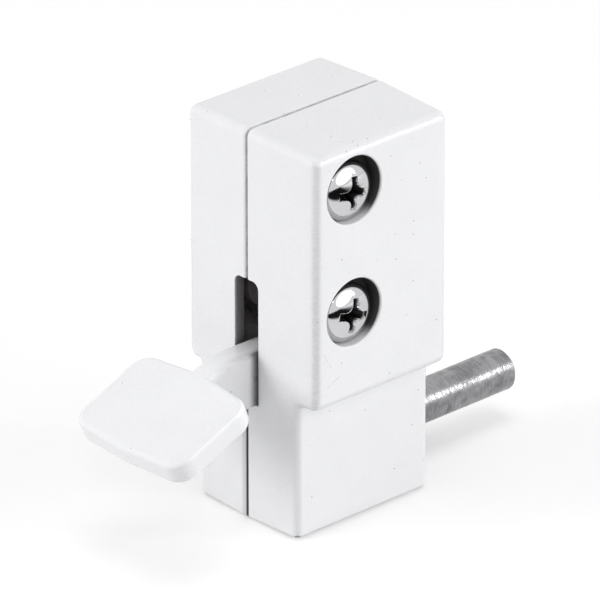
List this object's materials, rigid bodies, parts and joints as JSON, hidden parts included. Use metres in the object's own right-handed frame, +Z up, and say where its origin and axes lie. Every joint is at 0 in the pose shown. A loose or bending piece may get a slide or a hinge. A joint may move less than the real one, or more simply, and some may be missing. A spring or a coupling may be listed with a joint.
{
  "type": "patio door foot lock",
  "caption": "Cast block housing with a tilting foot pedal that slides a round steel bolt out of its side, screwed to a sliding door to lock it.",
  "frame": {"origin": "midway between the two mounting screws, on the housing's rear face, which lies against the door", "axes": "+X is the way the bolt comes out, +Y goes into the door, +Z is up"},
  "size_m": [0.0745, 0.0347, 0.0614],
  "materials": {
    "white_paint": "semi-gloss white paint on zinc die castings",
    "bare_steel": "dull bare steel, turned",
    "screw_plating": "bright plating"
  },
  "bodies": {
    "housing": {"front_casting": "white_paint", "rear_casting": "white_paint", "pivot_pin": "bare_steel", "spring_washer": "bare_steel", "upper_screw": "screw_plating", "lower_screw": "screw_plating"},
    "pedal": {"pedal_lever": "white_paint"},
    "bolt": {"locking_bolt": "bare_steel"}
  },
  "joints": [
    {"name": "pedal_hinge", "type": "hinge", "parent": "housing", "child": "pedal", "pos_m": [0.0058, -0.0127, -0.01622], "axis": [0, 1, 0], "range_deg": [0, 35]},
    {"name": "bolt_slide", "type": "slide", "parent": "housing", "child": "bolt", "axis": [1, 0, 0], "range_m": [-0.01256, 0]}
  ],
  "couplings": [
    {"joint": "bolt_slide", "follows": "pedal_hinge", "m_per_rad": -0.020429}
  ]
}
